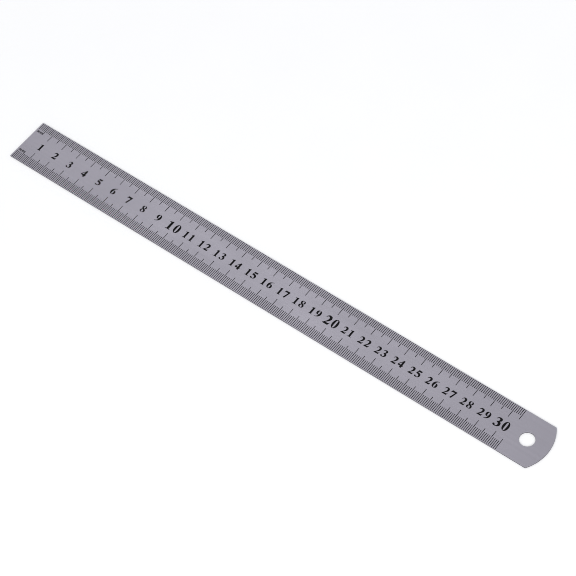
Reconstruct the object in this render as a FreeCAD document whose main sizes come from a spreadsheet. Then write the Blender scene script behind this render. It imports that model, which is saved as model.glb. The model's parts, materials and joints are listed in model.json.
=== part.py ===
import FreeCAD, Part
import math
import os
import Sketcher
from FreeCAD import Placement, Rotation, Vector

# A 30 cm steel ruler, in millimetres.
# The blade lies flat, and the origin is the middle of the face of its square zero end.
# X runs along the scale from the zero end, and Y across it from the near edge to the far edge.
# Z runs up towards the etched face, with Z = 0 halfway through the sheet.
# Every mark is etched into the face and filled with black enamel, and each filling is a
# solid of its own that lies in its recess.

DIMENSIONS = (
    ("overall_length", 326.0, "zero end to the tip of the round end"),
    ("blade_width", 26.0, "near edge to far edge"),
    ("blade_thickness", 0.8, "sheet thickness"),
    ("end_radius", 22.5, "round end, centred on the centreline"),
    ("corner_round", 0.5, "where the round end meets the straight edges"),
    ("edge_round", 0.1, "tumbled edges, all round the blade and the hole"),
    ("hole_diameter", 7.7, "hang hole"),
    ("hole_from_tip", 11.8, "tip of the round end to the middle of the hole"),
    ("etch_depth", 0.05, "depth of every recess"),
    ("enamel_drop", 0.01, "how far the enamel lies below the face"),
    ("millimetre", 1.0, "pitch of the scale"),
    ("scale_end", 305.0, "last line of the scale"),
    ("line_width", 0.34, "every line of the scale"),
    ("line_start", 0.15, "bare steel between an edge of the blade and its lines"),
    ("far_centimetre", 8.05, "centimetre lines, from the far edge"),
    ("far_half_centimetre", 6.35, "half-centimetre lines, from the far edge"),
    ("far_millimetre", 4.3, "millimetre lines, from the far edge"),
    ("near_centimetre", 8.4, "centimetre lines, from the near edge"),
    ("near_half_centimetre", 6.6, "half-centimetre lines, from the near edge"),
    ("near_millimetre", 4.9, "millimetre lines, from the near edge"),
    ("numeral_height", 4.2, "ordinary numerals"),
    ("numeral_advance", 3.7, "one digit to the next"),
    ("tens_height", 5.4, "numerals of the full tens"),
    ("tens_advance", 4.4, "one digit to the next"),
    ("unit_height", 1.3, "letters of the unit beside the zero end"),
    ("unit_advance", 1.95, "one letter to the next"),
    ("unit_middle", 2.85, "zero end to the middle of the unit"),
)

MILLIMETRES_PER_CENTIMETRE = 10
LAST_NUMERAL = 30

# The figures are bold with serifs. An outline is a list of steps in hundredths of the
# figure's height, with X measured from its middle and Y from its foot. It starts at its
# first point. Two numbers are a straight run to that point, and six are a curve: its two
# handles and its end. The first outline of a figure is its rim, and the others are holes.

ONE = [
    [(13, 100), (13, 12), (13, 7, 17, 5, 28, 5), (28, 0), (-28, 0), (-28, 5),
     (-16, 5, -12, 7, -12, 12), (-12, 76), (-12, 82, -16, 83, -28, 81), (-28, 86), (9, 100)],
]
TWO = [
    [(-33, 0), (26, 0), (34, 31), (28, 31), (26, 23, 23, 20, 14, 20), (-7, 20),
     (14, 37, 29, 53, 29, 72), (29, 89, 17, 100, -1, 100), (-18, 100, -29, 89, -33, 70),
     (-28, 68), (-24, 78, -18, 83, -10, 83), (-2, 83, 3, 76, 3, 66), (3, 47, -11, 28, -33, 4)],
]
THREE = [
    [(-30, 76), (-25, 92, -13, 100, 1, 100), (17, 100, 27, 92, 27, 79),
     (27, 70, 21, 64, 13, 60), (26, 55, 33, 45, 33, 32), (33, 12, 14, 0, -11, 0),
     (-25, 0, -33, 5, -33, 13), (-33, 19, -29, 23, -23, 23), (-13, 23, -11, 9, -2, 9),
     (5, 9, 9, 15, 9, 24), (9, 37, -1, 46, -15, 47), (-15, 53), (-4, 56, 3, 64, 3, 74),
     (3, 82, -2, 86, -9, 86), (-16, 86, -21, 82, -25, 73)],
]
FOUR = [
    [(1, 0), (26, 0), (26, 19), (34, 19), (34, 38), (26, 38), (26, 100), (9, 100),
     (-34, 37), (-34, 19), (1, 19)],
    [(1, 38), (1, 73), (-21, 38)],
]
FIVE = [
    [(-18, 100), (32, 100), (25, 78), (-12, 78), (-15, 70), (14, 69, 33, 57, 33, 35),
     (33, 12, 14, 0, -12, 0), (-26, 0, -33, 5, -33, 13), (-33, 19, -29, 23, -23, 23),
     (-13, 23, -11, 10, -2, 10), (6, 10, 12, 16, 12, 26), (12, 41, -5, 48, -31, 49)],
]
SEVEN = [
    [(-29, 100), (34, 100), (34, 96), (7, 0), (-15, 0), (11, 77), (-12, 77),
     (-21, 77, -26, 76, -29, 66), (-35, 67)],
]
EIGHT = [
    [(0, 100), (18, 100, 30, 91, 30, 76), (30, 66, 23, 59, 14, 54), (27, 47, 33, 38, 33, 27),
     (33, 10, 19, 0, -1, 0), (-19, 0, -33, 9, -33, 24), (-33, 35, -26, 43, -15, 49),
     (-25, 56, -31, 64, -31, 75), (-31, 90, -18, 100, 0, 100)],
    [(0, 94), (7, 94, 10, 87, 10, 77), (10, 69, 8, 63, 4, 59), (-6, 66, -10, 73, -10, 81),
     (-10, 89, -7, 94, 0, 94)],
    [(-5, 43), (7, 35, 12, 28, 12, 18), (12, 10, 8, 6, 1, 6), (-7, 6, -11, 13, -11, 24),
     (-11, 33, -9, 38, -5, 43)],
]
LETTER_M = [
    [(-70, 94), (-31, 100), (-31, 86), (-24, 95, -15, 100, -5, 100), (6, 100, 14, 95, 16, 86),
     (23, 95, 33, 100, 44, 100), (57, 100, 63, 91, 63, 76), (63, 8), (70, 8), (70, 0),
     (27, 0), (27, 8), (31, 8), (31, 72), (31, 79, 29, 82, 25, 82),
     (21, 82, 18, 79, 16, 75), (16, 8), (20, 8), (20, 0), (-20, 0), (-20, 8), (-16, 8),
     (-16, 72), (-16, 79, -18, 82, -22, 82), (-26, 82, -29, 79, -31, 75), (-31, 8),
     (-27, 8), (-27, 0), (-70, 0), (-70, 8), (-63, 8), (-63, 84), (-63, 88, -66, 88, -70, 87)],
]


def oval(middle_y, half_width, half_height, fullness):
    """Outline of an oval round (0, middle_y), as four curves.

    A fullness of 0.55 is an ellipse, and more of it is squarer.
    """
    side_handle = fullness * half_height
    top_handle = fullness * half_width
    top = middle_y + half_height
    bottom = middle_y - half_height
    return [
        (half_width, middle_y),
        (half_width, middle_y + side_handle, top_handle, top, 0, top),
        (-top_handle, top, -half_width, middle_y + side_handle, -half_width, middle_y),
        (-half_width, middle_y - side_handle, -top_handle, bottom, 0, bottom),
        (top_handle, bottom, half_width, middle_y - side_handle, half_width, middle_y),
    ]


def turned(outline):
    """The outline after half a turn about the middle of the figure."""
    return [tuple(100 * (place % 2) - value for place, value in enumerate(step)) for step in outline]


ZERO = [oval(50, 31.5, 50, 0.57), oval(50, 8.5, 44, 0.72)]
SIX = [
    [(31, 100), (-9, 97, -34, 73, -34, 41), (-34, 15, -21, 0, 0, 0), (20, 0, 34, 13, 34, 32),
     (34, 50, 24, 62, 8, 62), (2, 62, -3, 60, -7, 57), (-3, 77, 10, 90, 31, 95)],
    oval(29.5, 8.5, 24, 0.68),
]
NINE = [turned(outline) for outline in SIX]
DIGITS = (ZERO, ONE, TWO, THREE, FOUR, FIVE, SIX, SEVEN, EIGHT, NINE)

document = FreeCAD.newDocument("steel_ruler")


# ---------------------------------------------------------------- the sheet of dimensions

sizes = document.addObject("Spreadsheet::Sheet", "sizes")
for row, (alias, value, meaning) in enumerate(DIMENSIONS, start=1):
    sizes.set(f"A{row}", meaning)
    sizes.set(f"B{row}", str(value))
    sizes.setAlias(f"B{row}", alias)
document.recompute()


# ------------------------------------------------------------------- sketches and features

def new_body(name):
    body = document.addObject("PartDesign::Body", name)
    body.AllowCompound = True
    return body


def origin_feature(body, role):
    return next(item for item in body.Origin.OriginFeatures if item.Role == role)


def flat_sketch(body, name, height="0"):
    """An empty sketch, parallel to the body's XY plane at the height of the expression."""
    sketch = body.newObject("Sketcher::SketchObject", name)
    sketch.AttachmentSupport = [(origin_feature(body, "XY_Plane"), "")]
    sketch.MapMode = "FlatFace"
    sketch.setExpression("AttachmentOffset.Base.z", height)
    return sketch


def bind(sketch, name, expression, *constraint):
    """Add a dimension and let it follow an expression of the sheet."""
    number = sketch.addConstraint(Sketcher.Constraint(*constraint))
    sketch.renameConstraint(number, name)
    sketch.setExpression(f"Constraints.{name}", expression)


# Point numbers and axes as a sketch counts them.
START, END, CENTRE = 1, 2, 3
X_AXIS, Y_AXIS = -1, -2
ORIGIN = (-1, 1)


def rectangle(sketch, name, left, bottom, width, height):
    """A rectangle whose corner and sides follow four expressions (left, bottom, width, height)."""
    corners = [Vector(0, 0, 0), Vector(1, 0, 0), Vector(1, 1, 0), Vector(0, 1, 0)]
    first = sketch.GeometryCount
    for side in range(4):
        sketch.addGeometry(Part.LineSegment(corners[side], corners[(side + 1) % 4]))
    for side in range(4):
        follower = first + (side + 1) % 4
        sketch.addConstraint(Sketcher.Constraint("Coincident", first + side, END, follower, START))
    for side in (0, 2):
        sketch.addConstraint(Sketcher.Constraint("Horizontal", first + side))
        sketch.addConstraint(Sketcher.Constraint("Vertical", first + side + 1))
    bind(sketch, name + "_left", left, "DistanceX", *ORIGIN, first, START, 1.0)
    bind(sketch, name + "_bottom", bottom, "DistanceY", *ORIGIN, first, START, 1.0)
    bind(sketch, name + "_width", width, "DistanceX", first, START, first, END, 1.0)
    bind(sketch, name + "_height", height, "DistanceY", first + 1, START, first + 1, END, 1.0)


def repeat_along_x(body, feature, name, count, pitch):
    """Repeat a feature along the scale. The count and the pitch are expressions."""
    pattern = body.newObject("PartDesign::LinearPattern", name)
    pattern.Originals = [feature]
    pattern.Direction = (origin_feature(body, "X_Axis"), [""])
    pattern.setExpression("Occurrences", count)
    pattern.setExpression("Length", f"({count} - 1) * ({pitch})")
    body.Tip = pattern
    return pattern


# -------------------------------------------------------------------- the strip, unmarked

def blank_outline(body):
    """The blanked outline: square zero end, two straight edges, a round end and a hole."""
    sketch = flat_sketch(body, "blank_outline")
    half = sizes.blade_width / 2
    middle = sizes.overall_length - sizes.end_radius
    reach = math.sqrt(sizes.end_radius**2 - half**2)
    swing = math.atan2(half, reach)
    near_corner = Vector(middle + reach, -half, 0)
    far_corner = Vector(middle + reach, half, 0)
    round_end = Part.Circle(Vector(middle, 0, 0), Vector(0, 0, 1), sizes.end_radius)
    hole_middle = Vector(sizes.overall_length - sizes.hole_from_tip, 0, 0)

    near = sketch.addGeometry(Part.LineSegment(Vector(0, -half, 0), near_corner))
    tip = sketch.addGeometry(Part.ArcOfCircle(round_end, -swing, swing))
    far = sketch.addGeometry(Part.LineSegment(far_corner, Vector(0, half, 0)))
    zero = sketch.addGeometry(Part.LineSegment(Vector(0, half, 0), Vector(0, -half, 0)))
    hole = sketch.addGeometry(Part.Circle(hole_middle, Vector(0, 0, 1), sizes.hole_diameter / 2))

    for constraint in (
        ("Coincident", near, END, tip, START),
        ("Coincident", tip, END, far, START),
        ("Coincident", far, END, zero, START),
        ("Coincident", zero, END, near, START),
        ("Horizontal", near),
        ("Horizontal", far),
        ("PointOnObject", zero, START, Y_AXIS),
        ("Symmetric", zero, START, zero, END, X_AXIS),
        ("PointOnObject", tip, CENTRE, X_AXIS),
        ("PointOnObject", hole, CENTRE, X_AXIS),
    ):
        sketch.addConstraint(Sketcher.Constraint(*constraint))
    bind(sketch, "width", "sizes.blade_width", "DistanceY", zero, END, zero, START, 2 * half)
    bind(sketch, "end_radius", "sizes.end_radius", "Radius", tip, sizes.end_radius)
    bind(sketch, "end_middle", "sizes.overall_length - sizes.end_radius",
         "DistanceX", *ORIGIN, tip, CENTRE, middle)
    bind(sketch, "hole_middle", "sizes.overall_length - sizes.hole_from_tip",
         "DistanceX", *ORIGIN, hole, CENTRE, hole_middle.x)
    bind(sketch, "hole", "sizes.hole_diameter", "Diameter", hole, sizes.hole_diameter)
    return sketch


def is_upright(edge):
    first = edge.Vertexes[0].Point
    last = edge.Vertexes[-1].Point
    return abs(first.z - last.z) > sizes.blade_thickness / 2


def is_end_corner(edge):
    """True for the two upright edges where the round end meets the straight edges."""
    place = edge.CenterOfMass
    return is_upright(edge) and place.x > sizes.scale_end and abs(place.y) > sizes.blade_width / 3


def edge_names(shape, wanted):
    return [f"Edge{number}" for number, edge in enumerate(shape.Edges, start=1) if wanted(edge)]


def fillet(body, name, base, edges, radius):
    rounding = body.newObject("PartDesign::Fillet", name)
    rounding.Base = (base, edges)
    rounding.setExpression("Radius", radius)
    body.Tip = rounding
    document.recompute()
    return rounding


def plain_strip(body):
    """The blanked and tumbled strip, before it is etched."""
    blank = body.newObject("PartDesign::Pad", "blank")
    blank.Profile = blank_outline(body)
    blank.setExpression("Length", "sizes.blade_thickness")
    blank.SideType = "Symmetric"
    document.recompute()

    corners = edge_names(blank.Shape, is_end_corner)
    rounded = fillet(body, "round_end_corners", blank, corners, "sizes.corner_round")
    rims = edge_names(rounded.Shape, lambda edge: not is_upright(edge))
    return fillet(body, "tumbled_edges", rounded, rims, "sizes.edge_round")


# ------------------------------------------------------------------------------ the scale

# Each kind of line: its name, the lines drawn in the sketch, the pitch of the repeats, and
# how many repeats the scale holds. Four millimetre lines stand between two longer lines.
LINE_KINDS = (
    ("centimetre", (10,), 10, "floor(sizes.scale_end / (10 * sizes.millimetre))"),
    ("half_centimetre", (5,), 10, "floor((sizes.scale_end / sizes.millimetre + 5) / 10)"),
    ("millimetre", (1, 2, 3, 4), 5, "floor(sizes.scale_end / (5 * sizes.millimetre))"),
)
RECESS_FLOOR = "sizes.blade_thickness / 2 - sizes.etch_depth"
RECESS_FILL = "sizes.etch_depth"
ENAMEL_FILL = "sizes.etch_depth - sizes.enamel_drop"


def row_of_lines(name, edge, kind, thickness):
    """Every line of one kind on one edge, as solids that stand on the recess floor."""
    _, places, pitch, count = next(row for row in LINE_KINDS if row[0] == kind)
    body = new_body(name)
    sketch = flat_sketch(body, name + "_sketch", RECESS_FLOOR)
    length = f"sizes.{edge}_{kind}"
    if edge == "near":
        bottom = "sizes.line_start - sizes.blade_width / 2"
    else:
        bottom = f"sizes.blade_width / 2 - {length}"
    for place in places:
        left = f"{place} * sizes.millimetre - sizes.line_width / 2"
        height = f"{length} - sizes.line_start"
        rectangle(sketch, f"line_{place}", left, bottom, "sizes.line_width", height)
    line = body.newObject("PartDesign::Pad", name + "_first")
    line.Profile = sketch
    line.setExpression("Length", thickness)
    document.recompute()
    repeat_along_x(body, line, name + "_row", count, f"{pitch} * sizes.millimetre")
    return body


# ---------------------------------------------------------------------------- the figures

def wire(outline, middle_x, foot_y, scale):
    """A closed wire from an outline's steps, at its place and size."""
    def place(x, y):
        return Vector(middle_x + x * scale, foot_y + y * scale, 0)

    edges = []
    here = place(*outline[0])
    for step in outline[1:] + outline[:1]:
        poles = [here] + [place(*step[item:item + 2]) for item in range(0, len(step), 2)]
        if len(poles) > 2:
            curve = Part.BezierCurve()
            curve.setPoles(poles)
            edges.append(curve.toShape())
        elif poles[0].distanceToPoint(poles[1]) > 0:
            edges.append(Part.makeLine(*poles))
        here = poles[-1]
    return Part.Wire(edges)


def figures(name, characters, height, advance, middle, foot):
    """Flat faces of a line of figures, centred on a point of the recess floor."""
    faces = []
    for number, outlines in enumerate(characters):
        middle_x = (number - (len(characters) - 1) / 2) * advance
        wires = [wire(outline, middle_x, 0, height / 100) for outline in outlines]
        faces.append(Part.makeFace(wires, "Part::FaceMakerBullseye"))
    feature = document.addObject("Part::Feature", name)
    feature.Shape = Part.makeCompound(faces)
    recess_floor = sizes.blade_thickness / 2 - sizes.etch_depth
    feature.Placement = Placement(Vector(middle, foot, recess_floor), Rotation())
    return feature


def raised(name, flat, thickness):
    """Solids that stand on flat faces, as thick as the expression says."""
    solid = document.addObject("Part::Extrusion", name)
    solid.Base = flat
    solid.DirMode = "Custom"
    solid.Dir = Vector(0, 0, 1)
    solid.Solid = True
    solid.setExpression("LengthFwd", thickness)
    return solid


def numeral_outline(number):
    """The faces of one numeral, which is centred on its centimetre line and the centreline."""
    characters = [DIGITS[int(digit)] for digit in str(number)]
    is_full_ten = number % 10 == 0
    height = sizes.tens_height if is_full_ten else sizes.numeral_height
    advance = sizes.tens_advance if is_full_ten else sizes.numeral_advance
    middle = number * MILLIMETRES_PER_CENTIMETRE * sizes.millimetre
    return figures(f"outline_{number:02d}", characters, height, advance, middle, -height / 2)


def unit_outline(edge):
    """The letters mm between the zero end and the first half-centimetre line of an edge."""
    if edge == "far":
        foot = sizes.blade_width / 2 - sizes.far_half_centimetre
    else:
        foot = sizes.near_half_centimetre - sizes.blade_width / 2 - sizes.unit_height
    return figures(f"{edge}_unit_outline", [LETTER_M] * 2, sizes.unit_height, sizes.unit_advance,
                   sizes.unit_middle, foot)


# --------------------------------------------------------------------- recesses and enamel

sub_parts = []
recess_tools = []

for edge in ("far", "near"):
    for kind, *_ in LINE_KINDS:
        recess_tools.append(row_of_lines(f"{edge}_{kind}_recesses", edge, kind, RECESS_FILL))
        sub_parts.append(row_of_lines(f"{edge}_{kind}_lines", edge, kind, ENAMEL_FILL))

flat_figures = {f"numeral_{number:02d}": numeral_outline(number) for number in range(1, LAST_NUMERAL + 1)}
flat_figures.update({f"{edge}_unit_mark": unit_outline(edge) for edge in ("far", "near")})
for name, flat in flat_figures.items():
    recess_tools.append(raised(name + "_recess", flat, RECESS_FILL))
    sub_parts.append(raised(name, flat, ENAMEL_FILL))
document.recompute()


# ------------------------------------------------------------------------------- the blade

strip = new_body("strip")
plain_strip(strip)

recesses = document.addObject("Part::Compound", "recesses")
recesses.Links = recess_tools

blade = document.addObject("Part::Cut", "blade")
blade.Base = strip
blade.Tool = recesses
document.recompute()
sub_parts.insert(0, blade)


# ------------------------------------------------------------------------ checks and files

for item in document.Objects:
    if "Invalid" in item.State or "Error" in item.State:
        raise RuntimeError(f"{item.Name} did not compute: {item.State}")

for sub_part in sub_parts:
    sub_part.Label = sub_part.Name
    if sub_part.Shape.isNull() or not sub_part.Shape.isValid():
        raise RuntimeError(f"{sub_part.Name} has no valid shape")

etched_away = strip.Shape.Volume - blade.Shape.Volume
if not math.isclose(etched_away, recesses.Shape.Volume, rel_tol=1e-3):
    raise RuntimeError(f"the recesses hold {recesses.Shape.Volume} mm3 but {etched_away} mm3 is gone")

os.makedirs("parts", exist_ok=True)
for sub_part in sub_parts:
    sub_part.Shape.exportStep(f"parts/{sub_part.Label}.step")
    print(sub_part.Label, len(sub_part.Shape.Solids), round(sub_part.Shape.Volume, 4))
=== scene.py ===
import json
import math

import bmesh
import bpy
from mathutils import Matrix, Vector, geometry


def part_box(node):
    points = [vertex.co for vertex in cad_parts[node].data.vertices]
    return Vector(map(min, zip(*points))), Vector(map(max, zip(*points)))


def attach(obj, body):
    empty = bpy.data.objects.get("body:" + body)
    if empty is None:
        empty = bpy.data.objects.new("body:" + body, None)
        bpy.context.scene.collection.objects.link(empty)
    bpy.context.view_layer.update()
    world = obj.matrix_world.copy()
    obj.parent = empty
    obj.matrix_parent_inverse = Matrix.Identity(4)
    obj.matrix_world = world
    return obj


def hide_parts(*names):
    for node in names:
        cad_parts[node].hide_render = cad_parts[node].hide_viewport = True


# A stainless steel ruler, etched and filled with black enamel, on a pale table.
# Metres. X runs along the scale from the square zero end, Y across the blade to its far edge,
# and Z up out of the etched face.

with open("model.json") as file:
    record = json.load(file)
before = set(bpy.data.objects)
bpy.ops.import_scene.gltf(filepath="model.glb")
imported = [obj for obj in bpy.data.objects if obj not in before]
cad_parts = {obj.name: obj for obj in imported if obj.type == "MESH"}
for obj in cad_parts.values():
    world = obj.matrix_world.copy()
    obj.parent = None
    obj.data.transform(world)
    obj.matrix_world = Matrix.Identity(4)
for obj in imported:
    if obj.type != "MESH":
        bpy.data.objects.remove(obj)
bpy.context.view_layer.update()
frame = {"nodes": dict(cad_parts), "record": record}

# The blade, from the frame
blade_low, blade_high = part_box("blade")
LENGTH = blade_high.x
HALF_WIDTH = (blade_high.y - blade_low.y) / 2
HALF_THICKNESS = (blade_high.z - blade_low.z) / 2
hang_hole = next(mount for mount in frame["record"]["mounts"] if mount["name"] == "hang_hole")
HOLE_MIDDLE = Vector(hang_hole["pos_m"])
HOLE_RADIUS = hang_hole["dims"]["r_mm"] / 1000
ENAMEL_NODES = sorted(name for name in frame["nodes"] if name != "blade")

# The blade's roundings, which the frame doesn't name
END_RADIUS = 0.0225
CORNER_ROUND = 0.0005
EDGE_ROUND = 0.0001

# How finely its curves are divided
END_STEPS = 120
CORNER_STEPS = 10
HOLE_STEPS = 144
ROUNDING_STEPS = 5

# Points nearer than SAME_PLACE are one point of a solid, and rings nearer than TOUCHING meet
SAME_PLACE = 1e-7
TOUCHING = 1e-9

# The kind of triangulation that fills rings, and no more than the rings
INSIDE_THE_RINGS = 1

# Edges sharper than CREASE stay sharp, and faces whose normal's Z is over FLAT stay flat
CREASE = math.radians(25)
FLAT = 0.9999

# The order of the blade's materials
STEEL_SLOT, SHEARED_AND_SHADED_SLOT = 0, 1

# Colours, each from its darkest to its lightest
STEEL = (0.366, 0.351, 0.399), (0.4, 0.384, 0.435)
# The sheared walls' colour is darkened as painted shade
SHEARED_AND_SHADED = (0, 0, 0), (1.0, 0.97, 1.06)
ENAMEL = (0.001, 0.001, 0.0013), (0.005, 0.005, 0.006)
TABLE = (0.93, 0.93, 0.935), (0.95, 0.95, 0.95)

# Noise seldom leaves this range
NOISE_LOW, NOISE_HIGH = 0.3, 0.7

# Scratches are the rare peaks of noise, in three directions
SCRATCH_START, SCRATCH_FULL = 0.76, 0.80
SCRATCH_TURNS = (0.5, -0.8, 1.3)

# How high the bumps of polished and of torn surfaces are
POLISH_BUMP = 0.000004
TEAR_BUMP = 0.00001

# The table reaches this far each way, a hair's breadth below the blade so that no faces coincide
TABLE_REACH = 3.0
TABLE_CELLS = 8
TABLE_GAP = 0.00002


# ---------------------------------------------------------------------------- node helpers

class Nodes:
    """A material's node tree, with short ways to add and join nodes."""

    def __init__(self, name):
        self.material = bpy.data.materials.new(name)
        self.material.use_nodes = True
        self.tree = self.material.node_tree
        self.shader = self.tree.nodes["Principled BSDF"]
        self.place = self.add("ShaderNodeTexCoord").outputs["Object"]

    def add(self, kind, inputs=None, **settings):
        node = self.tree.nodes.new(kind)
        for name, value in settings.items():
            setattr(node, name, value)
        for name, value in (inputs or {}).items():
            if isinstance(value, bpy.types.NodeSocket):
                self.tree.links.new(value, node.inputs[name])
            else:
                node.inputs[name].default_value = value
        return node

    def set(self, name, value):
        self.shader.inputs[name].default_value = value

    def join(self, value, name):
        self.tree.links.new(value, self.shader.inputs[name])

    def stretched_noise(self, scale, detail, turn=0.0):
        """Noise whose cells are 1/scale long along X, Y and Z, turned about Z."""
        turned = self.add("ShaderNodeMapping", {"Vector": self.place, "Rotation": (0, 0, turn)})
        scaled = self.add("ShaderNodeMapping", {"Vector": turned.outputs[0], "Scale": scale})
        noise = self.add("ShaderNodeTexNoise", {
            "Vector": scaled.outputs[0], "Scale": 1.0, "Detail": detail})
        return noise.outputs["Fac"]

    def remap(self, value, low, high, to_low, to_high):
        node = self.add("ShaderNodeMapRange", {
            "Value": value, "From Min": low, "From Max": high, "To Min": to_low, "To Max": to_high})
        return node.outputs["Result"]

    def spread(self, noise, to_low, to_high):
        """The noise's usual range, stretched to another one."""
        return self.remap(noise, NOISE_LOW, NOISE_HIGH, to_low, to_high)

    def math(self, operation, first, second):
        return self.add("ShaderNodeMath", {0: first, 1: second}, operation=operation).outputs[0]

    def color(self, value, colors, low=0.0, high=1.0):
        """The base colour: the first where the value is low, the second where it is high."""
        ramp = self.add("ShaderNodeValToRGB", {"Fac": value})
        for end, position, color in zip(ramp.color_ramp.elements, (low, high), colors):
            end.position = position
            end.color = (*color, 1)
        self.join(ramp.outputs["Color"], "Base Color")

    def bump(self, height, strength, distance):
        node = self.add("ShaderNodeBump", {"Height": height, "Strength": strength, "Distance": distance})
        self.join(node.outputs["Normal"], "Normal")


# ------------------------------------------------------------------------------- materials

def steel():
    """Satin stainless steel, ground lengthwise, with faint handling marks."""
    nodes = Nodes("satin_stainless")
    nodes.set("Metallic", 1.0)
    nodes.set("Anisotropic", 0.35)

    fine_grain = nodes.stretched_noise((60, 9000, 60), 3.0)
    broad_grain = nodes.stretched_noise((12, 700, 12), 2.0)
    cloud = nodes.stretched_noise((25, 60, 60), 3.0)
    marks = 0.0
    for turn in SCRATCH_TURNS:
        peaks = nodes.stretched_noise((40, 5000, 40), 0.0, turn)
        scratches = nodes.remap(peaks, SCRATCH_START, SCRATCH_FULL, 0.0, 1.0)
        marks = nodes.math("MAXIMUM", marks, scratches)

    tone = nodes.math("MULTIPLY", nodes.math("ADD", fine_grain, broad_grain), 0.5)
    nodes.color(tone, STEEL, NOISE_LOW, NOISE_HIGH)

    roughness = nodes.spread(cloud, 0.34, 0.40)
    roughness = nodes.math("ADD", roughness, nodes.spread(fine_grain, -0.03, 0.03))
    roughness = nodes.math("SUBTRACT", roughness, nodes.math("MULTIPLY", marks, 0.05))
    nodes.join(roughness, "Roughness")

    height = nodes.math("SUBTRACT", fine_grain, nodes.math("MULTIPLY", marks, 0.6))
    nodes.bump(height, 0.25, POLISH_BUMP)
    along = nodes.add("ShaderNodeTangent", direction_type="RADIAL", axis="Y")
    nodes.join(along.outputs[0], "Tangent")
    return nodes.material


def sheared_and_shaded_steel():
    """The blanked side of the sheet: duller, torn lightly from face to underside, and given a darker
    colour as painted shade.
    """
    nodes = Nodes("sheared_and_shaded_steel")
    nodes.set("Metallic", 1.0)
    tear = nodes.stretched_noise((4000, 4000, 500), 3.0)
    cloud = nodes.stretched_noise((90, 90, 90), 2.0)
    # Painted shade: the walls' tone is kept far darker than the face's steel
    tone = nodes.math("MULTIPLY", nodes.spread(tear, 0.85, 1.15), nodes.spread(cloud, 0.15, 0.20))
    nodes.color(tone, SHEARED_AND_SHADED)
    nodes.join(nodes.spread(tear, 0.45, 0.6), "Roughness")
    nodes.bump(tear, 0.5, TEAR_BUMP)
    return nodes.material


def enamel():
    """Black enamel, slightly uneven where it was wiped flush."""
    nodes = Nodes("black_enamel")
    nodes.set("Specular IOR Level", 0.1)
    wiping = nodes.stretched_noise((1500, 4000, 1500), 3.0)
    nodes.color(wiping, ENAMEL, NOISE_LOW, 0.75)
    nodes.join(nodes.spread(wiping, 0.38, 0.52), "Roughness")
    nodes.bump(wiping, 0.3, POLISH_BUMP)
    return nodes.material


def matt_table():
    """A pale, almost even, matt surface."""
    nodes = Nodes("pale_table")
    nodes.set("Roughness", 0.9)
    nodes.set("Specular IOR Level", 0.1)
    nodes.color(nodes.stretched_noise((30, 30, 30), 3.0), TABLE)
    return nodes.material


# ------------------------------------------------------------------------------- the blade

def add_object(name, mesh):
    """A scene object that holds what a bmesh has built."""
    data = bpy.data.meshes.new(name)
    mesh.to_mesh(data)
    mesh.free()
    piece = bpy.data.objects.new(name, data)
    bpy.context.scene.collection.objects.link(piece)
    return piece


def arc(middle_x, middle_y, radius, start, end, steps):
    for step in range(steps + 1):
        angle = start + (end - start) * step / steps
        yield (middle_x + radius * math.cos(angle), middle_y + radius * math.sin(angle))


def outline(inset):
    """The blade's outline, moved inwards, anticlockwise from the near corner of the zero end."""
    end_middle = LENGTH - END_RADIUS
    corner_y = HALF_WIDTH - CORNER_ROUND
    corner_reach = math.sqrt((END_RADIUS - CORNER_ROUND) ** 2 - corner_y**2)
    corner_x = end_middle + corner_reach
    swing = math.atan2(corner_y, corner_reach)
    corner_radius = CORNER_ROUND - inset
    points = [(inset, inset - HALF_WIDTH)]
    points += arc(corner_x, -corner_y, corner_radius, -math.pi / 2, -swing, CORNER_STEPS)
    points += list(arc(end_middle, 0, END_RADIUS - inset, -swing, swing, END_STEPS))[1:-1]
    points += arc(corner_x, corner_y, corner_radius, swing, math.pi / 2, CORNER_STEPS)
    points.append((inset, HALF_WIDTH - inset))
    return points


def hole(inset):
    """The hang hole's outline, moved outwards into the steel."""
    turn = arc(HOLE_MIDDLE.x, HOLE_MIDDLE.y, HOLE_RADIUS + inset, 0, 2 * math.pi, HOLE_STEPS)
    return list(turn)[:-1]


def wall(mesh, profile):
    """A wall through the rings that a profile function gives, from the underside to the face.

    Both its rims are rounded. It returns the lowest and the highest ring of vertices.
    """
    levels = []
    for side in (-1, 1):
        for step in range(ROUNDING_STEPS + 1):
            part = step / ROUNDING_STEPS if side > 0 else 1 - step / ROUNDING_STEPS
            inset = EDGE_ROUND * (1 - math.cos(part * math.pi / 2))
            height = side * (HALF_THICKNESS - EDGE_ROUND * (1 - math.sin(part * math.pi / 2)))
            levels.append([mesh.verts.new((x, y, height)) for x, y in profile(inset)])
    for level, (lower, upper) in enumerate(zip(levels, levels[1:])):
        between_roundings = level == ROUNDING_STEPS
        for first in range(len(lower)):
            second = (first + 1) % len(lower)
            face = mesh.faces.new((lower[first], lower[second], upper[second], upper[first]))
            # The walls between the roundings get the steel that carries painted shade
            face.material_index = SHEARED_AND_SHADED_SLOT if between_roundings else STEEL_SLOT
    return levels[0], levels[-1]


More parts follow.
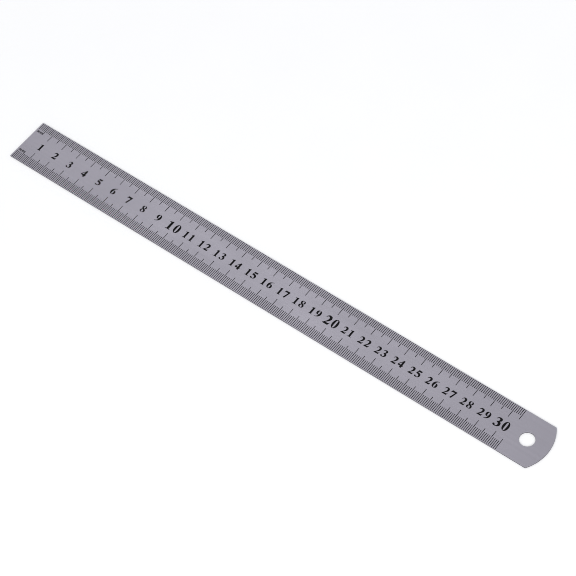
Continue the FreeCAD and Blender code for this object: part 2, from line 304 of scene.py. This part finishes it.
def recess(mesh, node):
    """The floor and walls of the recess that an enamel solid fills. It returns its rims."""
    solid = bmesh.new()
    solid.from_mesh(frame["nodes"][node].data)
    bmesh.ops.remove_doubles(solid, verts=solid.verts, dist=SAME_PLACE)
    floor_limit = min(vertex.co.z for vertex in solid.verts) + SAME_PLACE
    floor = [face for face in solid.faces if all(vertex.co.z < floor_limit for vertex in face.verts)]
    floor_faces = set(floor)
    low = {}
    following = {}
    for face in floor:
        for vertex in face.verts:
            if vertex not in low:
                low[vertex] = mesh.verts.new(vertex.co)
        mesh.faces.new([low[vertex] for vertex in reversed(face.verts)])
        for loop in face.loops:
            if not floor_faces.issuperset(loop.edge.link_faces):
                following[loop.vert] = loop.link_loop_next.vert
    high = {vertex: mesh.verts.new((*vertex.co.xy, HALF_THICKNESS)) for vertex in following}
    for first, second in following.items():
        mesh.faces.new((low[first], low[second], high[second], high[first]))
    rims = []
    while following:
        first, here = following.popitem()
        rim = [high[first]]
        while here is not first:
            rim.append(high[here])
            here = following.pop(here)
        rims.append(rim)
    solid.free()
    return rims


def signed_area(ring):
    following = ring[1:] + ring[:1]
    return sum(here.co.xy.cross(there.co.xy) for here, there in zip(ring, following)) / 2


def cover(mesh, rings):
    """Flat faces that fill the outermost ring and leave every second region inside it open."""
    vertices = [vertex for ring in rings for vertex in ring]
    numbers = {vertex: number for number, vertex in enumerate(vertices)}
    flat = [vertex.co.xy for vertex in vertices]
    polygons = []
    for ring in rings:
        polygon = [numbers[vertex] for vertex in ring]
        polygons.append(polygon if signed_area(ring) > 0 else polygon[::-1])
    places, _, triangles, sources, _, rings_around = geometry.delaunay_2d_cdt(
        flat, [], polygons, INSIDE_THE_RINGS, TOUCHING)
    if len(places) != len(vertices):
        raise RuntimeError("the rings of the blade's face touch each other")
    for triangle, around in zip(triangles, rings_around):
        if len(around) % 2:
            mesh.faces.new([vertices[sources[corner][0]] for corner in triangle])


def smooth_rounded_edges(piece):
    """Smooth shading on the walls and rounded edges, with the face and the underside left flat."""
    piece.data.set_sharp_from_angle(angle=CREASE)
    for polygon in piece.data.polygons:
        polygon.use_smooth = abs(polygon.normal.z) < FLAT


def blade():
    """The steel blade: rounded edges, a hang hole, and a recess under every piece of enamel."""
    mesh = bmesh.new()
    outer_low, outer_high = wall(mesh, outline)
    hole_low, hole_high = wall(mesh, hole)
    cover(mesh, [outer_low, hole_low])
    rims = [rim for node in ENAMEL_NODES for rim in recess(mesh, node)]
    cover(mesh, [outer_high, hole_high] + rims)
    bmesh.ops.recalc_face_normals(mesh, faces=mesh.faces)
    piece = add_object("steel_blade", mesh)
    smooth_rounded_edges(piece)
    piece.data.materials.append(steel())
    piece.data.materials.append(sheared_and_shaded_steel())
    return piece


# --------------------------------------------------------------------- table, light, camera

def table():
    """A plain pale table top that the blade lies on."""
    mesh = bmesh.new()
    bmesh.ops.create_grid(mesh, x_segments=TABLE_CELLS, y_segments=TABLE_CELLS, size=TABLE_REACH)
    under_the_blade = (LENGTH / 2, 0, -HALF_THICKNESS - TABLE_GAP)
    bmesh.ops.translate(mesh, verts=mesh.verts, vec=under_the_blade)
    piece = add_object("table", mesh)
    piece.data.materials.append(matt_table())


def facing(place, aim):
    """The matrix of a lamp or camera that stands at one point and looks at another."""
    turn = (Vector(aim) - Vector(place)).to_track_quat("-Z", "Y").to_matrix().to_4x4()
    return Matrix.Translation(place) @ turn


def softbox(name, place, aim, size, power):
    light = bpy.data.lights.new(name, "AREA")
    light.shape = "RECTANGLE"
    light.size, light.size_y = size
    light.energy = power
    lamp = bpy.data.objects.new(name, light)
    lamp.matrix_world = facing(place, aim)
    bpy.context.scene.collection.objects.link(lamp)


def studio():
    """An even white surround, a small light beyond the blade and a large one on the camera's side."""
    world = bpy.data.worlds.new("studio")
    world.use_nodes = True
    surround = world.node_tree.nodes["Background"].inputs
    surround["Color"].default_value = (0.97, 0.98, 1.0, 1)
    surround["Strength"].default_value = 0.68
    bpy.context.scene.world = world

    middle = (LENGTH / 2, 0, 0)
    softbox("key", place=(-0.50, 0.62, 1.4), aim=middle, size=(0.5, 0.5), power=0.8)
    softbox("fill", place=(1.1, -1.1, 1.8), aim=middle, size=(2.4, 2.4), power=36)


def picture():
    """Plain colours, and a filter and denoiser that keep neighbouring millimetre lines apart."""
    scene = bpy.context.scene
    scene.view_settings.view_transform = "Standard"
    scene.cycles.filter_width = 1.0
    scene.cycles.denoising_prefilter = "FAST"


def camera():
    data = bpy.data.cameras.new("camera")
    data.sensor_width = 36
    data.lens = 137.5
    data.clip_start = 0.01
    eye = bpy.data.objects.new("camera", data)
    roll = Matrix.Rotation(math.radians(-8.25), 4, "Z")
    eye.matrix_world = facing(place=(0.6026, -0.4331, 0.8880), aim=(0.1701, 0.0038, 0.0)) @ roll
    bpy.context.scene.collection.objects.link(eye)
    bpy.context.scene.camera = eye


# ------------------------------------------------------------------------------- the scene

steel_blade = blade()
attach(steel_blade, "root")
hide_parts("blade")

black_enamel = enamel()
for node in ENAMEL_NODES:
    materials = frame["nodes"][node].data.materials
    materials.clear()
    materials.append(black_enamel)

table()
studio()
picture()
camera()
